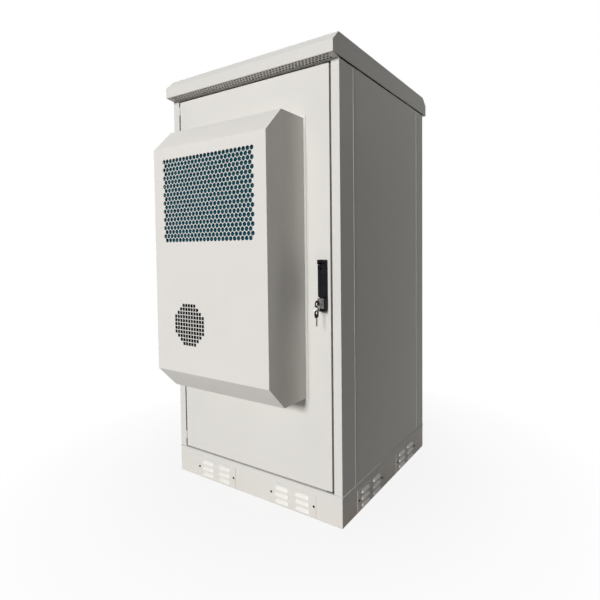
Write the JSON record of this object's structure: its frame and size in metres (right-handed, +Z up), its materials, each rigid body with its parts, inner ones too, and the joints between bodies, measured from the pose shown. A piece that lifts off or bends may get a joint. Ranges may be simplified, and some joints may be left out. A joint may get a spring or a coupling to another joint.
{
  "type": "outdoor equipment cabinet",
  "caption": "Free-standing outdoor equipment cabinet on a louvred plinth, with a rain hood, a hinged lockable door and a door-mounted air conditioner.",
  "frame": {"origin": "ground level at the centre of the body's footprint and of the floor anchors", "axes": "+X to the right of the door, the door faces -Y, +Z up"},
  "size_m": [0.763, 0.9375, 1.534],
  "materials": {
    "body_paint": "light grey powder coat",
    "unit_paint": "light grey powder coat",
    "zinc_steel": "zinc plated",
    "die_cast": "die-cast, as cast",
    "black_plastic": "fine grain",
    "lock_chrome": "polished",
    "key_brass": "worn nickel over brass",
    "ring_steel": "polished wire",
    "earth_copper": "bare copper",
    "gasket": "foam rubber",
    "fin_blue": "blue hydrophilic coating",
    "compressor_black": "gloss black"
  },
  "bodies": {
    "cabinet": {"plinth_front": "body_paint", "plinth_back": "body_paint", "plinth_left": "body_paint", "plinth_right": "body_paint", "plinth_vent_plates": "body_paint", "post_front_left": "body_paint", "post_front_right": "body_paint", "post_back_left": "body_paint", "post_back_right": "body_paint", "side_panel_left": "body_paint", "side_panel_right": "body_paint", "back_panel": "body_paint", "top_deck": "body_paint", "floor_pan": "body_paint", "door_top_rail": "body_paint", "door_sill": "body_paint", "hood": "body_paint", "hood_soffits": "body_paint", "hood_bearers": "zinc_steel", "gland_plate": "zinc_steel", "depth_rails": "zinc_steel", "rack_crossbars": "zinc_steel", "rack_rails": "zinc_steel", "equipment_shelf": "zinc_steel", "frame_hinge_leaves": "zinc_steel", "hinge_pins": "zinc_steel", "rod_keepers": "zinc_steel", "plinth_vent_screws": "zinc_steel", "cable_glands": "black_plastic", "earth_bar": "earth_copper"},
    "handle_spindle": {"handle_spindle": "zinc_steel", "lever_pin": "zinc_steel"},
    "handle_lever": {"handle_lever": "black_plastic"},
    "lock_plug": {"lock_plug": "lock_chrome", "lock_key_head": "black_plastic", "lock_key_blade": "key_brass"},
    "key_ring": {"key_ring": "ring_steel"},
    "spare_key": {"spare_key_head": "black_plastic", "spare_key_blade": "key_brass"},
    "upper_rod": {"upper_rod": "zinc_steel"},
    "lower_rod": {"lower_rod": "zinc_steel"},
    "condenser_fan": {"condenser_fan": "black_plastic"},
    "evaporator_fan": {"evaporator_fan": "black_plastic"},
    "door": {"door_panel": "body_paint", "door_gasket": "gasket", "door_hinge_leaves": "zinc_steel", "handle_base": "black_plastic", "lock_block": "lock_chrome", "rod_gearbox": "die_cast", "rod_guides": "zinc_steel", "ac_back_plate": "unit_paint", "ac_cover": "unit_paint", "ac_partition": "zinc_steel", "condenser_coil": "fin_blue", "evaporator_coil": "fin_blue", "fan_rings": "black_plastic", "fan_motors": "zinc_steel", "compressor": "compressor_black", "control_box": "zinc_steel", "indoor_grilles": "unit_paint"}
  },
  "joints": [
    {"name": "door_hinge", "type": "hinge", "parent": "cabinet", "child": "door", "pos_m": [-0.3415, -0.354, 0.7785], "axis": [0, 0, -1], "range_deg": [0, 120]},
    {"name": "handle_turn", "type": "hinge", "parent": "door", "child": "handle_spindle", "pos_m": [0.315, -0.362, 0.826], "axis": [0, -1, 0], "range_deg": [0, 90]},
    {"name": "handle_lift", "type": "hinge", "parent": "handle_spindle", "child": "handle_lever", "pos_m": [0.315, -0.3683, 0.826], "axis": [-1, 0, 0], "range_deg": [0, 40]},
    {"name": "key_turn", "type": "hinge", "parent": "door", "child": "lock_plug", "pos_m": [0.315, -0.378, 0.711], "axis": [0, -1, 0], "range_deg": [0, 90]},
    {"name": "ring_swing", "type": "hinge", "parent": "lock_plug", "child": "key_ring", "pos_m": [0.315, -0.4, 0.7076], "axis": [-1, 0, 0], "range_deg": [-15, 40]},
    {"name": "spare_key_swing", "type": "hinge", "parent": "key_ring", "child": "spare_key", "pos_m": [0.315, -0.4, 0.6876], "axis": [-1, 0, 0], "range_deg": [-25, 25]},
    {"name": "upper_rod_slide", "type": "slide", "parent": "door", "child": "upper_rod", "axis": [0, 0, -1], "range_m": [0, 0.0157]},
    {"name": "lower_rod_slide", "type": "slide", "parent": "door", "child": "lower_rod", "axis": [0, 0, 1], "range_m": [0, 0.0157]},
    {"name": "condenser_fan_spin", "type": "hinge", "parent": "door", "child": "condenser_fan", "pos_m": [-0.093, -0.5128, 0.6345], "axis": [0, 1, 0], "continuous": true},
    {"name": "evaporator_fan_spin", "type": "hinge", "parent": "door", "child": "evaporator_fan", "pos_m": [-0.006, -0.394, 0.6], "axis": [0, 1, 0], "continuous": true}
  ],
  "couplings": [
    {"joint": "handle_turn", "follows": "upper_rod_slide", "rad_per_m": 100},
    {"joint": "lower_rod_slide", "follows": "upper_rod_slide", "ratio": 1}
  ]
}
